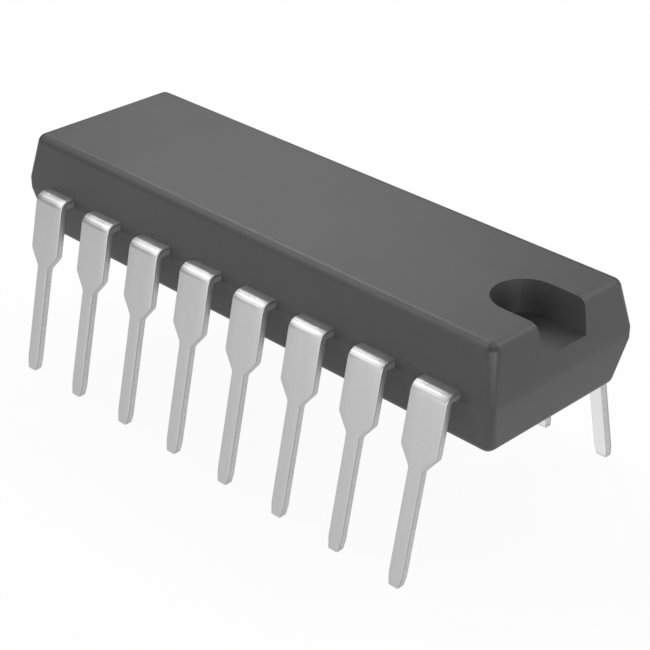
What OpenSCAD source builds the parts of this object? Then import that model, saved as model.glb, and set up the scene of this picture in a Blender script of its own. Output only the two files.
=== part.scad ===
// Sixteen-lead dual in-line integrated circuit package, 300 mil class, in millimetres.
// X runs along the body with the notch at +X, Y runs across it and Z points up.
// The origin lies under the middle of the body, in the plane of the lead tips.
// Seen from above, lead 1 is at +X +Y and the numbers run down the +Y row to -X,
// then back along the -Y row to lead 16 beside the notch.

/* [Moulded body] */
// Length of the moulding at its parting band
body_l = 21.56; // [20.6:0.02:23.4]
// Width of the moulding at its parting band
body_w = 6.45; // [6.1:0.05:7.1]
// Thickness of the moulding
body_h = 3.65; // [3.3:0.05:4.6]
// Height of the parting line above the underside
parting_h = 1.82; // [1.5:0.02:2.0]
// Height of the upright band at the parting line
band_h = 0.4; // [0.3:0.02:0.6]
// Draft of the walls above the band, in degrees
draft_top = 9; // [5:0.5:12]
// Draft of the walls below the band, in degrees
draft_bottom = 10; // [5:0.5:12]

/* [Edges of the moulding] */
// Radius of the edges round the top face
top_r = 0.36; // [0.15:0.01:0.5]
// Radius of the edges round the underside
bottom_r = 0.35; // [0.15:0.01:0.5]
// Radius of the upright corners at the parting band
corner_r = 0.2; // [0.1:0.01:0.35]

/* [Notch] */
// Width of the notch at the top face
notch_w = 2.14; // [1.6:0.02:2.6]
// Reach of the notch from the parting band at the end
notch_l = 2.66; // [2:0.02:3.2]
// Depth of the notch below the top face
notch_depth = 1.12; // [0.6:0.02:1.2]
// Draft of the notch's walls, in degrees
notch_draft = 3; // [1:0.5:8]

/* [Ejector marks] */
// Diameter of the two shallow marks in the underside
mark_d = 1.6; // [1:0.1:2.4]
// Depth of the marks
mark_depth = 0.08; // [0.04:0.01:0.15]
// Distance of each mark from the middle
mark_x = 6.6; // [5:0.1:8]

/* [Leads] */
// Pitch of the leads along each row
pitch = 2.54; // [2.4:0.02:2.7]
// Thickness of the strip that the lead frame is stamped from
lead_t = 0.285; // [0.2:0.005:0.36]
// Width of the shoulder
shoulder_w = 1.39; // [1.1:0.01:1.7]
// Straight length of the shoulder below the bend
shoulder_l = 1.715; // [1.2:0.005:2.1]
// Length over which the shoulder narrows to the shank
shoulder_taper = 0.56; // [0.3:0.02:0.8]
// Width of the shank
shank_w = 0.52; // [0.36:0.005:0.6]
// Length of the shank from the shoulder to its tip
shank_l = 3.88; // [2.9:0.02:4.4]
// Width of the tip
tip_w = 0.375; // [0.2:0.005:0.42]
// Length over which the shank narrows to the tip
tip_taper = 0.39; // [0.2:0.01:0.7]
// Angle at which the rows splay outward from upright, in degrees
splay = 12.4; // [2:0.2:15]
// Radius inside the bend
bend_r = 0.065; // [0.05:0.005:0.4]
// Level run of the lead from the moulding to its bend
lead_run = 0.25; // [0.05:0.01:0.4]

/* [Lead frame inside the moulding] */
// Depth to which the full width of a shoulder runs into the moulding
root_d = 0.85; // [0.7:0.05:1]
// Diameter of the anchor hole through each buried shoulder
anchor_d = 0.4; // [0.2:0.05:0.5]
// Distance of the anchor hole from the side of the moulding
anchor_in = 0.5; // [0.4:0.02:0.6]
// Length of the die paddle
paddle_l = 4.4; // [4:0.1:5]
// Width of the die paddle
paddle_w = 3; // [2.6:0.05:3.2]
// Drop of the die paddle below the fingers
downset = 0.2; // [0.1:0.02:0.3]
// Length over which the tie bars climb from the paddle to the frame
downset_run = 0.35; // [0.25:0.05:0.6]
// Width of the two tie bars
tie_w = 0.32; // [0.24:0.02:0.4]
// Cover of moulding over the end of the tie bar under the notch
tie_cover = 0.3; // [0.2:0.05:0.6]
// Gap between the paddle and the tips of the fingers
tip_gap = 0.25; // [0.2:0.01:0.35]
// Width of the tip of a finger
finger_w = 0.42; // [0.34:0.01:0.46]
// Distance from the middle to the first finger on the paddle's long side
first_tip_x = 0.3; // [0.2:0.02:0.4]
// Distance of the last finger on that side from the paddle's corner
corner_tip_x = 0.35; // [0.25:0.01:0.4]

/* [Die] */
// Length of the die
die_l = 2.6; // [2.2:0.1:3]
// Width of the die
die_w = 1.9; // [1.6:0.1:2.2]
// Thickness of the die
die_t = 0.3; // [0.2:0.02:0.38]
// Thickness of the die attach
attach_t = 0.03; // [0.02:0.01:0.06]
// Reach of the die attach past each side of the die
attach_edge = 0.12; // [0.05:0.01:0.2]

/* [Bond wires] */
// Diameter of the bond wires
wire_d = 0.03; // [0.02:0.005:0.05]
// Diameter of the bonded ball on the die
ball_d = 0.08; // [0.06:0.005:0.1]
// Height of the bonded ball
ball_h = 0.02; // [0.015:0.005:0.03]
// Rise of a wire above the straight line between its ends
loop_h = 0.2; // [0.12:0.02:0.3]
// Distance of the bond pads from the edge of the die
pad_in = 0.1; // [0.07:0.01:0.16]
// Distance of a wire's outer end from the tip of its finger, along the finger
stitch_in = 0.25; // [0.15:0.01:0.4]

/* [Hidden] */
pins_in_row = 8;
pin_count = 2 * pins_in_row;
fingers = pins_in_row / 2;          // fingers in one quarter of the frame
round_fn = 32;                      // facets round the moulding's rounded corners
arc_fn = 64;                        // sides of the true arcs
wire_sides = 6;
wire_steps = 7;                     // straight stretches along one wire's loop
cut = 1;                            // how far a cutting shape runs past what it cuts
join = 0.05;                        // overlap of two parts of one piece, and of two cutting shapes that meet

// Heights that follow from the lead's own lengths
bend_out = bend_r + lead_t;
lead_l = shoulder_l + shoulder_taper + shank_l;
frame_z = lead_l * cos(splay) + bend_out * (1 - sin(splay)) - lead_t / 2;
bend_z = frame_z - lead_t / 2 - bend_r;
under_z = frame_z - parting_h;
top_z = under_z + body_h;
frame_top = frame_z + lead_t / 2;

// Places along Y: the moulding's side, where the bend starts, where a shoulder ends inside
side_y = body_w / 2;
bend_y = side_y + lead_run;
root_y = side_y - root_d;

// The paddle and what stands on it
paddle_z = frame_z - downset;
attach_z = paddle_z + lead_t / 2;
die_z = attach_z + attach_t;
die_top = die_z + die_t;

// Names
function two_digits(n) = n < 10 ? str("0", n) : str(n);
function lead_name(n) = str("lead_", two_digits(n));
function wire_name(n) = str("bond_wire_", two_digits(n));

// Where pin n stands: its distance along X, and the side of its row
function pin_side(n) = n <= pins_in_row ? 1 : -1;
function pin_step(n) = n <= pins_in_row ? (pins_in_row + 1) / 2 - n : n - (3 * pins_in_row + 1) / 2;
function pin_x(k) = (k + 0.5) * pitch;
function quarter_index(n) = abs(pin_step(n)) - 0.5;

// The two corners of a finger's tip, in the quarter where X and Y are positive.
// The inner two fingers meet the paddle's long side, the outer two its short side.
long_side_y = paddle_w / 2 + tip_gap;
short_side_x = paddle_l / 2 + tip_gap;
tip_starts = [
    [first_tip_x, long_side_y],
    [paddle_l / 2 - corner_tip_x - finger_w, long_side_y],
    [short_side_x, paddle_w / 2],
    [short_side_x, tie_w / 2 + tip_gap + finger_w]
];
function tip_turn(k) = k < 2 ? [finger_w, 0] : [0, -finger_w];
function tip_middle(k) = tip_starts[k] + tip_turn(k) / 2;
function finger_run(k) = [pin_x(k), root_y] - tip_middle(k);

// Where the bond wire of finger k stands on the die and on the finger
function pad_place(k) = k < 2
    ? [tip_middle(k).x * (die_l / 2 - pad_in) / (paddle_l / 2), die_w / 2 - pad_in]
    : [die_l / 2 - pad_in, tip_middle(k).y * (die_w / 2 - pad_in) / (paddle_w / 2)];
function stitch_place(k) = tip_middle(k) + stitch_in * finger_run(k) / norm(finger_run(k));

// Puts a shape of the positive quarter at pin n
module at_pin(n) {
    mirror([pin_step(n) < 0 ? 1 : 0, 0, 0])
        mirror([0, pin_side(n) < 0 ? 1 : 0, 0])
            children();
}

// Outline of the flat part of a lead: the finger inside and the shoulder up to the bend
module flat_outline(k) {
    x = pin_x(k);
    a = tip_starts[k];
    b = a + tip_turn(k);
    difference() {
        polygon([
            a,
            b,
            [x + shoulder_w / 2, root_y],
            [x + shoulder_w / 2, bend_y],
            [x - shoulder_w / 2, bend_y],
            [x - shoulder_w / 2, root_y]
        ]);
        translate([x, side_y - anchor_in])
            circle(d = anchor_d, $fn = arc_fn);
    }
}

// Outline of the formed pin, drawn along Y from the end of the bend
module pin_outline() {
    narrow = (shank_w - tip_w) / 2 / tip_taper;
    end_y = lead_l + lead_t;
    half_end = tip_w / 2 - narrow * lead_t;
    right = [
        [shoulder_w / 2, 0],
        [shoulder_w / 2, shoulder_l],
        [shank_w / 2, shoulder_l + shoulder_taper],
        [shank_w / 2, lead_l - tip_taper],
        [half_end, end_y]
    ];
    polygon(concat(right, [for (i = [len(right) - 1:-1:0]) [-right[i].x, right[i].y]]));
}

// One stamped and formed lead in the positive quarter, its tip cut level
module quarter_lead(k) {
    translate([0, 0, frame_z - lead_t / 2])
        linear_extrude(lead_t)
            flat_outline(k);
    translate([pin_x(k), bend_y, bend_z])
        rotate([0, -90, 0])
            rotate_extrude(angle = 90 - splay, $fn = arc_fn)
                translate([bend_r, -shoulder_w / 2])
                    square([lead_t, shoulder_w]);
    difference() {
        translate([pin_x(k), bend_y, bend_z])
            rotate([splay - 90, 0, 0])
                translate([0, 0, bend_r])
                    linear_extrude(lead_t)
                        pin_outline();
        translate([pin_x(k) - shoulder_w, 0, -cut])
            cube([2 * shoulder_w, side_y + lead_l, cut]);
    }
}

module lead(n) {
    color("silver")
        at_pin(n)
            quarter_lead(quarter_index(n));
}

// Rounded corner of the moulding: a true ball with points at its poles
module ball(r) {
    step = 360 / round_fn;
    rotate_extrude($fn = round_fn)
        polygon([for (a = [-90:step:90]) [r * cos(a), r * sin(a)]]);
}

// Inset of a ball's middle from the sharp corner of a drafted wall
function ball_inset(r, draft) = r * (1 - sin(draft)) / cos(draft);

// The moulding before its notch and marks: drafted up and down from the parting band
module blank() {
    rise = top_z - frame_z - band_h / 2;
    fall = frame_z - under_z - band_h / 2;
    top_in = rise * tan(draft_top) + ball_inset(top_r, draft_top);
    bottom_in = fall * tan(draft_bottom) + ball_inset(bottom_r, draft_bottom);
    hull()
        for (sx = [-1, 1], sy = [-1, 1]) {
            translate([sx * (body_l / 2 - top_in), sy * (side_y - top_in), top_z - top_r])
                ball(top_r);
            translate([sx * (body_l / 2 - corner_r), sy * (side_y - corner_r), frame_z - band_h / 2])
                cylinder(r = corner_r, h = band_h, $fn = round_fn);
            translate([sx * (body_l / 2 - bottom_in), sy * (side_y - bottom_in), under_z + bottom_r])
                ball(bottom_r);
        }
}

// The notch: a drafted slot with a half round inner end, open at the end of the body
module notch() {
    lean = tan(notch_draft);
    over = cut * lean;
    half = notch_w / 2;
    low = half - notch_depth * lean;
    mid_x = body_l / 2 - notch_l + half;
    floor_z = top_z - notch_depth;
    translate([mid_x, 0, floor_z]) {
        cylinder(h = notch_depth + cut, r1 = low, r2 = half + over, $fn = arc_fn);
        rotate([90, 0, 90])
            linear_extrude(notch_l)
                polygon([
                    [-low, 0],
                    [low, 0],
                    [half + over, notch_depth + cut],
                    [-half - over, notch_depth + cut]
                ]);
    }
}

module ejector_marks() {
    for (side = [-1, 1])
        translate([side * mark_x, 0, under_z - cut])
            cylinder(h = cut + mark_depth, d = mark_d, $fn = arc_fn);
}

module molded_body() {
    color([0.33, 0.33, 0.34])
        difference() {
            blank();
            notch();
            ejector_marks();
            for (n = [1:pin_count]) {
                at_pin(n)
                    quarter_lead(quarter_index(n));
                at_pin(n)
                    quarter_wire(quarter_index(n), join);
            }
            paddle_shape();
            attach_shape(join);
            die_shape(join);
        }
}

// Tie bar from the paddle to x_end, climbing to the level of the frame
module tie_bar(x_end) {
    start = paddle_l / 2;
    climb = start + downset_run;
    low = -downset - lead_t / 2;
    rotate([90, 0, 0])
        translate([0, 0, -tie_w / 2])
            linear_extrude(tie_w)
                polygon([
                    [start - join, low],
                    [start, low],
                    [climb, -lead_t / 2],
                    [x_end, -lead_t / 2],
                    [x_end, lead_t / 2],
                    [climb, lead_t / 2],
                    [start, low + lead_t],
                    [start - join, low + lead_t]
                ]);
}

module paddle_shape() {
    translate([0, 0, paddle_z])
        cube([paddle_l, paddle_w, lead_t], center = true);
    translate([0, 0, frame_z]) {
        tie_bar(body_l / 2 - tie_cover);
        mirror([1, 0, 0])
            tie_bar(body_l / 2);
    }
}

module die_paddle() {
    color([0.72, 0.52, 0.36])
        paddle_shape();
}

// In a cutter, sink is how far it runs down into the shape below it
module attach_shape(sink = 0) {
    translate([-die_l / 2 - attach_edge, -die_w / 2 - attach_edge, attach_z - sink])
        cube([die_l + 2 * attach_edge, die_w + 2 * attach_edge, attach_t + sink]);
}

module die_attach() {
    color([0.75, 0.75, 0.7])
        attach_shape();
}

module die_shape(sink = 0) {
    translate([-die_l / 2, -die_w / 2, die_z - sink])
        cube([die_l, die_w, die_t + sink]);
}

module die() {
    color([0.25, 0.27, 0.35])
        die_shape();
}

// Ring of a wire's skin: its middle, the direction of the wire there, the level direction across it
function ring(mid, along, across, r) = [
    for (i = [0:wire_sides - 1])
        let (a = 360 * i / wire_sides)
            mid + r * (cos(a) * cross(along, across) + sin(a) * across)
];

// One bond wire in the positive quarter: a flat ball on the die and a half elliptic loop to the finger.
// As a cutter it starts inside the die and ends inside the finger.
module quarter_wire(k, sink = 0) {
    from = pad_place(k);
    to = stitch_place(k);
    reach = to - from;
    across = [-reach.y, reach.x, 0] / norm(reach);
    up = [0, 0, 1];
    ball_top = die_top + ball_h;
    drop = frame_top - ball_top;
    loop = [
        for (i = [0:wire_steps])
            let (
                a = 180 * i / wire_steps,
                s = (1 - cos(a)) / 2,
                mid = [from.x + reach.x * s, from.y + reach.y * s, ball_top + drop * s + loop_h * sin(a)],
                run = norm(reach) * sin(a) / 2,
                climb = drop * sin(a) / 2 + loop_h * cos(a),
                along = [reach.x / norm(reach) * run, reach.y / norm(reach) * run, climb]
            )
                each ring(mid, along / norm(along), across, wire_d / 2)
    ];
    skin = concat(
        ring([from.x, from.y, die_top - sink], up, across, ball_d / 2),
        ring([from.x, from.y, ball_top], up, across, ball_d / 2),
        loop,
        sink > 0 ? ring([to.x, to.y, frame_top - sink], -up, across, wire_d / 2) : []
    );
    rings = len(skin) / wire_sides;
    walls = [
        for (j = [0:rings - 2], i = [0:wire_sides - 1])
            let (
                here = j * wire_sides,
                next = here + wire_sides,
                turn = (i + 1) % wire_sides
            )
                [here + i, here + turn, next + turn, next + i]
    ];
    foot = [for (i = [wire_sides - 1:-1:0]) i];
    stitch = [for (i = [0:wire_sides - 1]) (rings - 1) * wire_sides + i];
    polyhedron(points = skin, faces = concat([foot], walls, [stitch]));
}

module bond_wire(n) {
    color("gold")
        at_pin(n)
            quarter_wire(quarter_index(n));
}

molded_body();
for (n = [1:pin_count]) lead(n);
die_paddle();
die_attach();
die();
for (n = [1:pin_count]) bond_wire(n);
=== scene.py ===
"""Dual in-line integrated circuit package on a pale floor: its finishes, formed leads, light and camera."""
import math

import bmesh
import bpy
from mathutils import Matrix, Vector


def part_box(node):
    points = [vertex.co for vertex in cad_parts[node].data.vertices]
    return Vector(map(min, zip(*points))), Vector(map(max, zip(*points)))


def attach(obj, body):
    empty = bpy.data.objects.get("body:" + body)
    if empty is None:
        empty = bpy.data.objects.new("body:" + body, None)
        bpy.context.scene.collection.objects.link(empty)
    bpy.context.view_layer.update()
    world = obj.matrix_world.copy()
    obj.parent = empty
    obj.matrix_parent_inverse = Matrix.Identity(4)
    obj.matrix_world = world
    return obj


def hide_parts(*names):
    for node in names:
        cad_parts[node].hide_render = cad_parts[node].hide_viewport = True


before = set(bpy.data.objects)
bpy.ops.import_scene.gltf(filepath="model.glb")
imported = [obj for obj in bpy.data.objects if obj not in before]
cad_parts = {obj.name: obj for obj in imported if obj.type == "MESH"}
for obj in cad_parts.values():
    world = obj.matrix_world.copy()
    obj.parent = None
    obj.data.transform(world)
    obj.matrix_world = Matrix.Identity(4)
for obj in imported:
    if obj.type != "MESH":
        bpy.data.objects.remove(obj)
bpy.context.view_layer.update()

MM = 0.001

# Leads, in millimetres
PINS_IN_ROW = 8
PITCH = 2.54
STRIP = 0.285
SHOULDER_W, SHOULDER_L, SHOULDER_TAPER = 1.39, 1.715, 0.56
SHANK_W, SHANK_L = 0.52, 3.88
TIP_W, TIP_TAPER = 0.375, 0.39
SPLAY = math.radians(12.4)
BEND_R = 0.065
LEAD_RUN = 0.25

# Lead frame inside the moulding, in millimetres
ROOT_D = 0.85
ANCHOR_D, ANCHOR_IN = 0.4, 0.5
PADDLE_L, PADDLE_W = 4.4, 3.0
TIE_W, TIP_GAP, FINGER_W = 0.32, 0.25, 0.42
FIRST_TIP_X, CORNER_TIP_X = 0.3, 0.35

# Stamped edges, in millimetres: rolled over on the outer side, nearly sharp on the inner side
ROLLOVER = 0.032
BURR = 0.018
SHEAR_LEAN = 0.012
CORNER_BLEND = 0.07
TIP_CHAMFER = 0.025
# Share of the strip's thickness that the punch burnishes before the metal tears
BURNISH = 0.42

# Steps of a lead's mesh: turns in degrees round its edges, shares of the way along its finger, and counts
ROLLOVER_TURNS = (0, 22, 45, 68, 90)
BURR_TURNS = (0, 45, 90)
FINGER_STEPS = (0.0, 0.5, 1.0)
BEND_STEPS = 14
HOLE_SIDES = 24
# Half the size of the cell of the blank round an anchor hole, in millimetres
ANCHOR_CELL = 0.3

# Order of the points round a section: two outer points, an edge, two inner points, an edge
EDGE_POINTS = len(ROLLOVER_TURNS) + 1 + len(BURR_TURNS)
INNER_POINT = 2 + EDGE_POINTS
# The row of the blank, and the strips of its faces, that the anchor hole goes through
HOLE_ROW = len(FINGER_STEPS)
HOLE_STRIPS = (0, INNER_POINT)
# Material slots of a lead
OUTER, INNER, SHEARED, CUT = range(4)
# Vertex attribute that says how deep a point lies in the stamped edge
SHEAR_DEPTH = "shear_depth"

# Heights and places that follow, in millimetres
SIDE_Y = (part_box("molded_body")[1] / MM).y
BEND_Y = SIDE_Y + LEAD_RUN
ROOT_Y = SIDE_Y - ROOT_D
HOLE_Y = SIDE_Y - ANCHOR_IN
TURN = math.pi / 2 - SPLAY
LEAD_L = SHOULDER_L + SHOULDER_TAPER + SHANK_L
FRAME_Z = LEAD_L * math.cos(SPLAY) + (BEND_R + STRIP) * (1 - math.sin(SPLAY)) - STRIP / 2
BEND_Z = FRAME_Z - STRIP / 2 - BEND_R
BEND_RUN = (BEND_R + STRIP / 2) * TURN
PIN_START = BEND_Y + BEND_RUN

# Edges that turn by more than this, in degrees, are shaded sharp
LEAD_SHARP = 40
MOULDING_SHARP = 30
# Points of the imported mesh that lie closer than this, in metres, are one point
SAME_POINT = 1e-7

# Finish colours
CORE_UNDER_TIN = (0.5, 0.44, 0.38, 1)
DARK_COPPER, LIGHT_COPPER = (0.68, 0.4, 0.26, 1), (0.76, 0.48, 0.33, 1)
SILVER_PLATE = (0.86, 0.85, 0.82, 1)
DARK_FLAKE, LIGHT_FLAKE = (0.5, 0.49, 0.46, 1), (0.72, 0.71, 0.68, 1)
BARE_SILICON = (0.16, 0.17, 0.19, 1)
BLUE_BLOCK, BROWN_BLOCK, METAL_LINE = (0.2, 0.22, 0.3, 1), (0.42, 0.34, 0.3, 1), (0.5, 0.5, 0.46, 1)
DARK_GOLD, LIGHT_GOLD = (0.92, 0.66, 0.24, 1), (0.98, 0.76, 0.36, 1)
# Levels between which a noise is spread over a full mix, gently and more sharply
GENTLE, CRISP = (0.3, 0.7), (0.35, 0.65)
# Distance from the middle over which the silver plate ends, in millimetres
SPOT_EDGE = (2.3, 2.45)
# Sockets that the Mix node keeps for colours: the two inputs, and the output
MIX_FIRST, MIX_SECOND, MIX_RESULT = 6, 7, 2

# Floor: its size in metres, its greys as paint for the eye and for all other light, and its shares of white
FLOOR_SIZE = 1.2
PAINT_TO_EYE, PAINT_TO_LIGHT = 0.95, 0.35
WHITE_SHARE, WHITE_IN_METAL = 0.94, 0.85

WORLD_STRENGTH = 0.01

# Soft boxes face a point just above the floor, all from one distance, in metres
LIT_POINT = Vector((0, 0, 0.005))
BOX_DISTANCE = 0.16
# Name, azimuth and elevation in degrees, width and height in metres, power in watts
SOFT_BOXES = [
    ("right_front_low_box", -20, 6, 0.06, 0.05, 0.036),
    ("right_back_low_box", 42, 18, 0.14, 0.1, 0.052),
    ("right_back_high_box", 60, 45, 0.07, 0.06, 0.056),
    ("back_high_box", 105, 50, 0.06, 0.05, 0.029),
    ("left_back_box", 135, 30, 0.06, 0.05, 0.02),
    ("left_high_box", 156, 47, 0.05, 0.04, 0.053),
    ("left_front_high_box", 206, 48, 0.06, 0.05, 0.052),
    ("left_front_box", 230, 30, 0.06, 0.05, 0.032),
    ("left_front_low_box", 248, 7, 0.07, 0.05, 0.025),
    ("front_low_box", 315, 8, 0.2, 0.05, 0.105),
    ("top_box", 0, 80, 0.08, 0.08, 0.046),
]

# Camera: its place in millimetres from the part's origin, its directions, and its lens in millimetres
VIEW_FROM = Vector((38.018, -36.648, 33.007))
VIEW_AHEAD = Vector((-0.6207731, 0.6119938, -0.4900044))
VIEW_RIGHT = Vector((0.7025090, 0.7116740, -0.0011399))
SENSOR_W, LENS = 36.0, 100.05
NEAREST, FARTHEST = 0.001, 10.0


def add_object(name, data):
    """A new object in the scene."""
    made = bpy.data.objects.new(name, data)
    bpy.context.scene.collection.objects.link(made)
    return made


# Finishes


class Value:
    """One output of a node. Arithmetic on it adds Math nodes to its finish."""

    def __init__(self, finish, socket):
        self.finish, self.socket = finish, socket

    def math(self, operation, *terms):
        return self.finish.node("ShaderNodeMath", {"operation": operation}, dict(enumerate(terms)))

    def __add__(self, other):
        return self.math("ADD", self, other)

    def __sub__(self, other):
        return self.math("SUBTRACT", self, other)

    def __rsub__(self, other):
        return self.math("SUBTRACT", other, self)

    def __mul__(self, other):
        return self.math("MULTIPLY", self, other)

    __radd__, __rmul__ = __add__, __mul__

    def larger(self, other):
        return self.math("MAXIMUM", self, other)

    def band(self, low, high):
        """0 below low, 1 above high, smooth between."""
        return self.finish.node(
            "ShaderNodeMapRange",
            {"interpolation_type": "SMOOTHSTEP"},
            {"Value": self, "From Min": low, "From Max": high},
        )


class Finish:
    """A material or a world, with one method that adds any node."""

    def __init__(self, owner, output):
        owner.use_nodes = True
        self.owner, self.tree = owner, owner.node_tree
        self.tree.nodes.clear()
        self.output = self.tree.nodes.new(output)

    def node(self, kind, settings=None, inputs=None, output=0):
        made = self.tree.nodes.new(kind)
        for name, setting in (settings or {}).items():
            setattr(made, name, setting)
        for name, value in (inputs or {}).items():
            if isinstance(value, Value):
                self.tree.links.new(value.socket, made.inputs[name])
            else:
                made.inputs[name].default_value = value
        return Value(self, made.outputs[output])

    def place(self):
        """Where a point lies, in millimetres."""
        metres = self.node("ShaderNodeTexCoord", output="Object")
        return self.node("ShaderNodeVectorMath", {"operation": "SCALE"}, {0: metres, "Scale": 1 / MM})

    def stretched(self, vector, x, y, z):
        return self.node("ShaderNodeVectorMath", {"operation": "MULTIPLY"}, {0: vector, 1: (x, y, z)})

    def noise(self, vector, per_mm=1.0, detail=3.0, roughness=0.5):
        return self.node(
            "ShaderNodeTexNoise",
            {"noise_dimensions": "3D"},
            {"Vector": vector, "Scale": per_mm, "Detail": detail, "Roughness": roughness},
        )

    def cells(self, vector, per_mm, **settings):
        """A pattern of cells, each with a level of its own."""
        color = self.node("ShaderNodeTexVoronoi", settings, {"Vector": vector, "Scale": per_mm}, "Color")
        return self.node("ShaderNodeSeparateColor", None, {"Color": color})

    def mixed(self, factor, first, second):
        return self.node(
            "ShaderNodeMix",
            {"data_type": "RGBA"},
            {"Factor": factor, MIX_FIRST: first, MIX_SECOND: second},
            MIX_RESULT,
        )

    def bump(self, height, depth_mm):
        """A normal for a height from 0 to 1 that stands for that depth."""
        return self.node("ShaderNodeBump", None, {"Height": height, "Distance": depth_mm * MM})

    def surface(self, shader):
        self.tree.links.new(shader.socket, self.output.inputs["Surface"])
        return self.owner

    def principled(self, **sockets):
        names = {name.replace("_", " "): value for name, value in sockets.items()}
        return self.surface(self.node("ShaderNodeBsdfPrincipled", None, names))


def new_material(name):
    return Finish(bpy.data.materials.new(name), "ShaderNodeOutputMaterial")


def grey(level):
    return (level, level, level, 1.0)


def molding_compound():
    """Silica filled epoxy with the fine eroded grain of its mould."""
    finish = new_material("molding_compound_grained")
    place = finish.place()
    cloud = finish.noise(place, per_mm=0.35, detail=2.0)
    mottle = finish.noise(place, per_mm=4.0, detail=4.0, roughness=0.6)
    grain = finish.noise(place, per_mm=16.0, roughness=0.65)
    tone = (cloud * 0.5 + mottle * 0.3 + grain * 0.2).band(*GENTLE)
    return finish.principled(
        Base_Color=finish.mixed(tone, grey(0.059), grey(0.069)),
        Roughness=0.37 + 0.08 * mottle,
        Normal=finish.bump(grain, depth_mm=0.005),
        IOR=1.47,
    )


def tin_face(name, level):
    """Satin tin plate over rolled strip: faint rolling lines along the strip and a soft plated grain. The
    level is a grey that differs between the faces of one plate, as painted light and shade.
    """
    finish = new_material(name)
    place = finish.place()
    rolling = finish.noise(finish.stretched(place, 14.0, 1.2, 0.9), roughness=0.6)
    plated = finish.noise(place, per_mm=9.0, roughness=0.55)
    tone = (rolling * 0.5 + plated * 0.5).band(*GENTLE)
    spread = 0.015
    return finish.principled(
        Base_Color=finish.mixed(tone, grey(level - spread), grey(level + spread)),
        Metallic=1.0,
        Roughness=0.37 + 0.04 * plated,
        Normal=finish.bump(rolling * 0.6 + plated * 0.4, depth_mm=0.0012),
    )


def sheared_edge():
    """Stamped edge: burnished towards the outer side, torn and rougher towards the inner side."""
    finish = new_material("sheared_edge")
    place = finish.place()
    depth = finish.node("ShaderNodeAttribute", {"attribute_name": SHEAR_DEPTH}, output="Fac")
    drag = finish.noise(finish.stretched(place, 3.0, 22.0, 22.0), roughness=0.6)
    torn = (depth + 0.2 * drag).band(0.3, 0.46)
    grain = finish.noise(place, per_mm=26.0, roughness=0.7)
    torn_tone = finish.mixed(grain.band(*CRISP), grey(0.46), grey(0.74))
    return finish.principled(
        Base_Color=finish.mixed(torn, grey(0.42), torn_tone),
        Metallic=1.0,
        Roughness=0.34 + 0.16 * torn,
        Normal=finish.bump(drag * 0.6 + torn * grain, depth_mm=0.006),
    )


def cut_tip():
    """Tip that was trimmed after plating: the copper alloy core shows dull under the tin dragged over it."""
    finish = new_material("cut_tip")
    place = finish.place()
    drag = finish.noise(finish.stretched(place, 20.0, 3.0, 3.0), roughness=0.6)
    return finish.principled(
        Base_Color=finish.mixed(drag.band(*CRISP), CORE_UNDER_TIN, grey(0.6)),
        Metallic=1.0,
        Roughness=0.4 + 0.1 * drag,
        Normal=finish.bump(drag, depth_mm=0.004),
    )


def copper_alloy():
    """Rolled copper alloy with a round spot of silver plate in the middle."""
    finish = new_material("copper_alloy_with_silver_spot")
    place = finish.place()
    rolling = finish.noise(finish.stretched(place, 1.0, 14.0, 14.0), roughness=0.6)
    level_place = finish.stretched(place, 1, 1, 0)
    reach = finish.node("ShaderNodeVectorMath", {"operation": "LENGTH"}, {0: level_place}, "Value")
    plated = 1 - (reach + 0.15 * rolling).band(*SPOT_EDGE)
    copper = finish.mixed(rolling, DARK_COPPER, LIGHT_COPPER)
    return finish.principled(
        Base_Color=finish.mixed(plated, copper, SILVER_PLATE),
        Metallic=1.0,
        Roughness=0.28 + 0.12 * rolling,
        Normal=finish.bump(rolling, depth_mm=0.002),
    )


def silver_epoxy():
    """Die attach: silver flakes in epoxy."""
    finish = new_material("silver_filled_epoxy")
    flakes = finish.cells(finish.place(), per_mm=60.0)
    return finish.principled(
        Base_Color=finish.mixed(flakes, DARK_FLAKE, LIGHT_FLAKE),
        Metallic=flakes.band(0.4, 0.6) * 0.8,
        Roughness=0.35 + 0.3 * flakes,
        Normal=finish.bump(flakes, depth_mm=0.004),
    )


def silicon():
    """Polished die: bare grey sides and a passivated face with its blocks of circuit."""
    finish = new_material("silicon_with_circuit_face")
    place = finish.place()
    height = finish.node("ShaderNodeSeparateXYZ", None, {"Vector": place}, "Z")
    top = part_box("die")[1].z / MM
    face = height.band(top - 0.02, top - 0.01)
    blocks = finish.cells(place, per_mm=3.2, distance="CHEBYCHEV")
    lines = finish.node(
        "ShaderNodeTexWave",
        {"wave_type": "BANDS", "bands_direction": "X"},
        {"Vector": place, "Scale": 9.0},
        "Fac",
    )
    circuit = finish.mixed(lines * 0.4, finish.mixed(blocks, BLUE_BLOCK, BROWN_BLOCK), METAL_LINE)
    return finish.principled(
        Base_Color=finish.mixed(face, BARE_SILICON, circuit),
        Metallic=0.55,
        Roughness=0.12 + 0.18 * blocks,
        Normal=finish.bump(lines * face, depth_mm=0.001),
    )


def gold_wire():
    """Drawn gold wire."""
    finish = new_material("drawn_gold")
    drawn = finish.noise(finish.place(), per_mm=30.0, detail=2.0)
    return finish.principled(
        Base_Color=finish.mixed(drawn, DARK_GOLD, LIGHT_GOLD),
        Metallic=1.0,
        Roughness=0.16 + 0.1 * drawn,
        Normal=finish.bump(drawn, depth_mm=0.0005),
    )


# Formed leads


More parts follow.
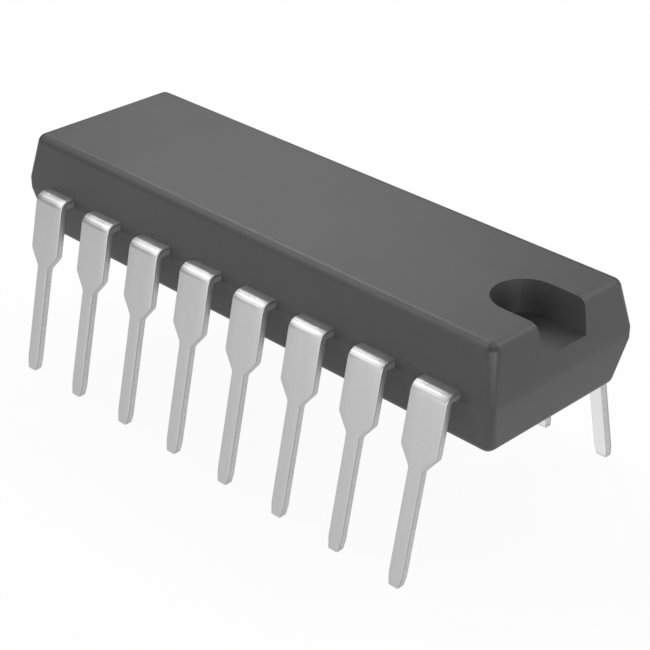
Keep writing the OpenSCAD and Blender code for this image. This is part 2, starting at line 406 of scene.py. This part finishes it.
def half_width(run):
    """Half the width of the formed pin at a run below its bend, with softly blended corners."""
    corners = [
        (0.0, SHOULDER_W / 2),
        (SHOULDER_L, SHOULDER_W / 2),
        (SHOULDER_L + SHOULDER_TAPER, SHANK_W / 2),
        (LEAD_L - TIP_TAPER, SHANK_W / 2),
        (LEAD_L, TIP_W / 2),
    ]
    slopes = [(b[1] - a[1]) / (b[0] - a[0]) for a, b in zip(corners, corners[1:])]
    for (place, width), before, after in zip(corners[1:-1], slopes, slopes[1:]):
        off = run - place
        if abs(off) < CORNER_BLEND:
            curve = (after - before) / (4 * CORNER_BLEND)
            return width + (before + after) / 2 * off + curve * (off**2 + CORNER_BLEND**2)
    for (place, width), slope in reversed(list(zip(corners, slopes))):
        if run >= place:
            return width + slope * (run - place)
    return SHOULDER_W / 2


def formed(across, run, lift):
    """Where a point of the flat blank goes when the lead is bent.

    Run goes along the strip from the middle of the body, and lift goes up from the middle of its thickness.
    """
    past = run - BEND_Y
    if past <= 0:
        return Vector((across, run, FRAME_Z + lift))
    angle = min(past / BEND_RUN, 1.0) * TURN
    radius = BEND_R + STRIP / 2 + lift
    straight = max(past - BEND_RUN, 0.0)
    return Vector((
        across,
        BEND_Y + radius * math.sin(angle) + straight * math.cos(angle),
        BEND_Z + radius * math.cos(angle) - straight * math.sin(angle),
    ))


def edge_profile():
    """The stamped edge, from the outer face to the inner one.

    Each point is (inset, lift, depth), and depth is 0 at the outer face and 1 at the inner one.
    """
    half = STRIP / 2
    outer = [
        (ROLLOVER * (1 - math.sin(turn)), half - ROLLOVER * (1 - math.cos(turn)))
        for turn in map(math.radians, ROLLOVER_TURNS)
    ]
    tear = [(0.0, half - STRIP * BURNISH)]
    inner = [
        (SHEAR_LEAN + BURR * (1 - math.cos(turn)), -half + BURR * (1 - math.sin(turn)))
        for turn in map(math.radians, BURR_TURNS)
    ]
    return [(inset, lift, (half - lift) / STRIP) for inset, lift in outer + tear + inner]


def finger_tip(k):
    """The two corners of a finger's tip, left and right, in the quarter where X and Y are positive."""
    long_y = PADDLE_W / 2 + TIP_GAP
    short_x = PADDLE_L / 2 + TIP_GAP
    starts = [
        (FIRST_TIP_X, long_y),
        (PADDLE_L / 2 - CORNER_TIP_X - FINGER_W, long_y),
        (short_x, PADDLE_W / 2),
        (short_x, TIE_W / 2 + TIP_GAP + FINGER_W),
    ]
    start = Vector(starts[k])
    on_long_side = k < 2
    return start, start + Vector((FINGER_W, 0) if on_long_side else (0, -FINGER_W))


def blank_rows(k, middle):
    """Rows of the flat blank from the finger's tip to the pin's: each has its left and right point."""
    tip = finger_tip(k)
    root = (Vector((middle - SHOULDER_W / 2, ROOT_Y)), Vector((middle + SHOULDER_W / 2, ROOT_Y)))
    rows = [tuple(a.lerp(b, step) for a, b in zip(tip, root)) for step in FINGER_STEPS]
    runs = [HOLE_Y - ANCHOR_CELL, HOLE_Y + ANCHOR_CELL, SIDE_Y]
    runs += [BEND_Y + BEND_RUN * i / BEND_STEPS for i in range(BEND_STEPS + 1)]
    runs += [PIN_START + SHOULDER_L * 0.5]
    for corner in (SHOULDER_L, SHOULDER_L + SHOULDER_TAPER, LEAD_L - TIP_TAPER):
        runs += [PIN_START + corner + CORNER_BLEND * i / 2 for i in range(-2, 3)]
    for run in runs:
        half = half_width(run - PIN_START)
        rows.append((Vector((middle - half, run)), Vector((middle + half, run))))
    return rows


def run_at_height(lift, height):
    """Run at which the straight pin passes that height above the plane of the tips."""
    radius = BEND_R + STRIP / 2 + lift
    return PIN_START + (BEND_Z + radius * math.cos(TURN) - height) / math.sin(TURN)


def section(left, right):
    """Points round a section, each as (across, run, lift, depth).

    They go round the outer face, the right edge, the inner face and the left edge.
    """
    profile = edge_profile()
    width = (right - left).length
    share = ANCHOR_CELL / SHOULDER_W

    def at(inset, lift, depth):
        point = left.lerp(right, inset / width)
        return (point.x, point.y, lift, depth)

    outer = [at(width * part, STRIP / 2, 0.0) for part in (0.5 - share, 0.5 + share)]
    right_edge = [at(width - inset, lift, depth) for inset, lift, depth in profile]
    inner = [at(width * part, -STRIP / 2, 1.0) for part in (0.5 + share, 0.5 - share)]
    left_edge = [at(inset, lift, depth) for inset, lift, depth in reversed(profile)]
    return outer + right_edge + inner + left_edge


def section_at_tip():
    """The section's points, each as (side from -1 to 1, lift, depth)."""
    flat = section(Vector((0.0, 0.0)), Vector((TIP_W, 0.0)))
    return [(2 * across / TIP_W - 1, lift, depth) for across, _, lift, depth in flat]


def strip_slots():
    """Material slot of each strip of faces between two points of the section, in the order of its points."""
    rollover = [OUTER] * (len(ROLLOVER_TURNS) - 1)
    burr = [OUTER] * (len(BURR_TURNS) - 1)
    edge = rollover + [SHEARED] * 2 + burr
    return [OUTER] * 2 + edge + [INNER] * 3 + edge[::-1] + [OUTER]


def lead_mesh(name, k, mirror_x, mirror_y):
    """One stamped and formed lead. k counts from the middle of a row outwards."""
    middle = (k + 0.5) * PITCH
    shape = bmesh.new()
    depth_layer = shape.verts.layers.float.new(SHEAR_DEPTH)
    flip = Vector((-1 if mirror_x else 1, -1 if mirror_y else 1, 1))

    def vertex(point, depth):
        made = shape.verts.new(Vector(a * b for a, b in zip(point, flip)) * MM)
        made[depth_layer] = depth
        return made

    rings = [
        [vertex(formed(across, run, lift), depth) for across, run, lift, depth in section(left, right)]
        for left, right in blank_rows(k, middle)
    ]
    for height, inset in ((TIP_CHAMFER, 0.0), (0.0, TIP_CHAMFER)):
        ring = []
        for side, lift, depth in section_at_tip():
            shrunk = lift * (1 - 2 * inset / STRIP)
            run = run_at_height(shrunk, height)
            half = half_width(run - PIN_START) - inset
            ring.append(vertex(formed(middle + side * half, run, shrunk), depth))
        rings.append(ring)

    slots = strip_slots()
    for row, (near, far) in enumerate(zip(rings, rings[1:])):
        for i, slot in enumerate(slots):
            if row == HOLE_ROW and i in HOLE_STRIPS:
                continue
            j = (i + 1) % len(slots)
            shape.faces.new((near[i], near[j], far[j], far[i])).material_index = slot
    shape.faces.new(reversed(rings[0]))
    shape.faces.new(rings[-1]).material_index = CUT
    drill_anchor(shape, vertex, rings[HOLE_ROW], rings[HOLE_ROW + 1], middle)
    bmesh.ops.recalc_face_normals(shape, faces=shape.faces)
    for face in shape.faces:
        face.smooth = True
    mesh = bpy.data.meshes.new(name)
    shape.to_mesh(mesh)
    shape.free()
    return mesh


def drill_anchor(shape, vertex, near, far, middle):
    """Anchor hole: the cell round it on both faces, and its wall.

    The first point of each circle faces the first corner of its cell.
    """
    turns = [math.radians(-45 + 360 * i / HOLE_SIDES) for i in range(HOLE_SIDES)]
    circles = [
        [
            vertex(
                formed(middle + ANCHOR_D / 2 * math.sin(turn), HOLE_Y + ANCHOR_D / 2 * math.cos(turn), lift),
                depth,
            )
            for turn in turns
        ]
        for lift, depth in ((STRIP / 2, 0.0), (-STRIP / 2, 1.0))
    ]
    first, last = INNER_POINT, INNER_POINT + 1
    squares = [
        [far[0], far[1], near[1], near[0]],
        [far[last], far[first], near[first], near[last]],
    ]
    quarter = HOLE_SIDES // 4
    for circle, square in zip(circles, squares):
        for side in range(4):
            arc = [circle[(side * quarter + i) % HOLE_SIDES] for i in range(quarter + 1)]
            shape.faces.new([square[side], square[(side + 1) % 4], *reversed(arc)])
    upper, lower = circles
    for i in range(HOLE_SIDES):
        j = (i + 1) % HOLE_SIDES
        shape.faces.new((upper[i], upper[j], lower[j], lower[i])).material_index = SHEARED


def keep_flats(piece):
    """Shades the flats flat and the rounded edges round."""
    piece.modifiers.new("flats", "WEIGHTED_NORMAL").keep_sharp = True


def add_piece(name, mesh, slot, materials, *nodes):
    """A visible piece that stands for those CAD nodes."""
    piece = add_object(name, mesh)
    for material in materials:
        mesh.materials.append(material)
    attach(piece, "root")
    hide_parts(*nodes)
    return piece


def leads(materials):
    """Sixteen leads. The last eight are the near row, and the count runs back along it."""
    row_middle = (PINS_IN_ROW + 1) / 2
    for n in range(1, 2 * PINS_IN_ROW + 1):
        near_row = n > PINS_IN_ROW
        step = n - PINS_IN_ROW - row_middle if near_row else row_middle - n
        name = f"lead_{n:02d}"
        mesh = lead_mesh(f"formed_{name}", int(abs(step) - 0.5), step < 0, near_row)
        piece = add_piece(f"formed_{name}", mesh, "tin_plate", materials, name)
        mesh.set_sharp_from_angle(angle=math.radians(LEAD_SHARP))
        keep_flats(piece)


# Moulding and the pieces inside it


def smooth_rounds(node, angle):
    """Shades the moulding's rounded edges smooth and its other edges sharp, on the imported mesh."""
    group = bpy.data.node_groups.new("smooth_rounds", "GeometryNodeTree")
    group.interface.new_socket("Geometry", in_out="INPUT", socket_type="NodeSocketGeometry")
    group.interface.new_socket("Geometry", in_out="OUTPUT", socket_type="NodeSocketGeometry")
    nodes, links = group.nodes, group.links
    start, end = nodes.new("NodeGroupInput"), nodes.new("NodeGroupOutput")
    merge = nodes.new("GeometryNodeMergeByDistance")
    merge.inputs["Distance"].default_value = SAME_POINT
    edge_angle = nodes.new("GeometryNodeInputMeshEdgeAngle")
    sharper = nodes.new("FunctionNodeCompare")
    sharper.inputs["B"].default_value = math.radians(angle)
    normals = nodes.new("GeometryNodeSetMeshNormal")
    normals.inputs["Face Sharpness"].default_value = False
    links.new(start.outputs["Geometry"], merge.inputs["Geometry"])
    links.new(merge.outputs["Geometry"], normals.inputs["Mesh"])
    links.new(edge_angle.outputs["Unsigned Angle"], sharper.inputs["A"])
    links.new(sharper.outputs["Result"], normals.inputs["Edge Sharpness"])
    links.new(normals.outputs["Mesh"], end.inputs["Geometry"])
    node.modifiers.new("smooth_rounds", "NODES").node_group = group
    keep_flats(node)


def finish_nodes():
    """Gives each CAD node that stays visible its finish."""
    finishes = {
        "molded_body": molding_compound(),
        "die_paddle": copper_alloy(),
        "die_attach": silver_epoxy(),
        "die": silicon(),
        "bond_wire": gold_wire(),
    }
    for name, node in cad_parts.items():
        kind = "bond_wire" if name.startswith("bond_wire") else name
        if kind in finishes:
            for material_slot in node.material_slots:
                material_slot.material = finishes[kind]
    smooth_rounds(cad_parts["molded_body"], MOULDING_SHARP)


# Studio


def pale_floor():
    """White to the eye and in the metal's reflections, with a painted share that keeps the shadow.

    The light that it gives back to the part is that of a grey floor.
    """
    finish = new_material("pale_floor")
    to_eye, to_metal, through = (
        finish.node("ShaderNodeLightPath", output=f"Is {ray} Ray")
        for ray in ("Camera", "Glossy", "Transmission")
    )
    seen = to_eye.larger(to_metal * WHITE_IN_METAL).larger(through)
    tone = finish.mixed(to_eye, grey(PAINT_TO_LIGHT), grey(PAINT_TO_EYE))
    paint = finish.node("ShaderNodeBsdfDiffuse", None, {"Color": tone})
    white = finish.node("ShaderNodeEmission", None, {"Color": grey(1.0), "Strength": 1.0})
    material = finish.surface(
        finish.node("ShaderNodeMixShader", None, {0: seen * WHITE_SHARE, 1: paint, 2: white})
    )
    bpy.ops.mesh.primitive_plane_add(size=FLOOR_SIZE)
    floor = bpy.context.object
    floor.name = "floor"
    floor.data.materials.append(material)


def soft_box(name, azimuth, elevation, width, height, power):
    """A soft box that faces the part. Azimuth 0 is +X and 90 is +Y."""
    lamp = bpy.data.lights.new(name, "AREA")
    lamp.shape = "RECTANGLE"
    lamp.size, lamp.size_y = width, height
    lamp.energy = power
    placed = add_object(name, lamp)
    a, e = math.radians(azimuth), math.radians(elevation)
    out = Vector((math.cos(a) * math.cos(e), math.sin(a) * math.cos(e), math.sin(e)))
    placed.location = LIT_POINT + out * BOX_DISTANCE
    placed.rotation_euler = out.to_track_quat("Z", "Y").to_euler()
    placed.visible_camera = False


def studio():
    pale_floor()
    world = bpy.data.worlds.new("studio")
    bpy.context.scene.world = world
    finish = Finish(world, "ShaderNodeOutputWorld")
    sky = finish.node("ShaderNodeBackground", None, {"Color": grey(1.0), "Strength": WORLD_STRENGTH})
    finish.surface(sky)
    for box in SOFT_BOXES:
        soft_box(*box)


def camera():
    """The photograph's viewpoint, worked out from the pitch of the leads."""
    data = bpy.data.cameras.new("camera")
    data.sensor_width, data.lens = SENSOR_W, LENS
    data.clip_start, data.clip_end = NEAREST, FARTHEST
    placed = add_object("camera", data)
    ahead = VIEW_AHEAD.normalized()
    up = VIEW_RIGHT.normalized().cross(ahead).normalized()
    right = ahead.cross(up)
    turn = Matrix((right, up, -ahead)).transposed().to_4x4()
    placed.matrix_world = Matrix.Translation(VIEW_FROM * MM) @ turn
    bpy.context.scene.camera = placed


bpy.context.scene.view_settings.view_transform = "Standard"
camera()
studio()
finish_nodes()
leads([
    # One tin plate in two greys: the outer faces' darker grey is painted shade for the dimmer surroundings
    # they mirror, and the inner faces' lighter grey is a painted reflection of the white floor.
    tin_face("tin_outer_face_painted_shade", 0.565),
    tin_face("tin_inner_face_painted_light", 0.92),
    sheared_edge(),
    cut_tip(),
])
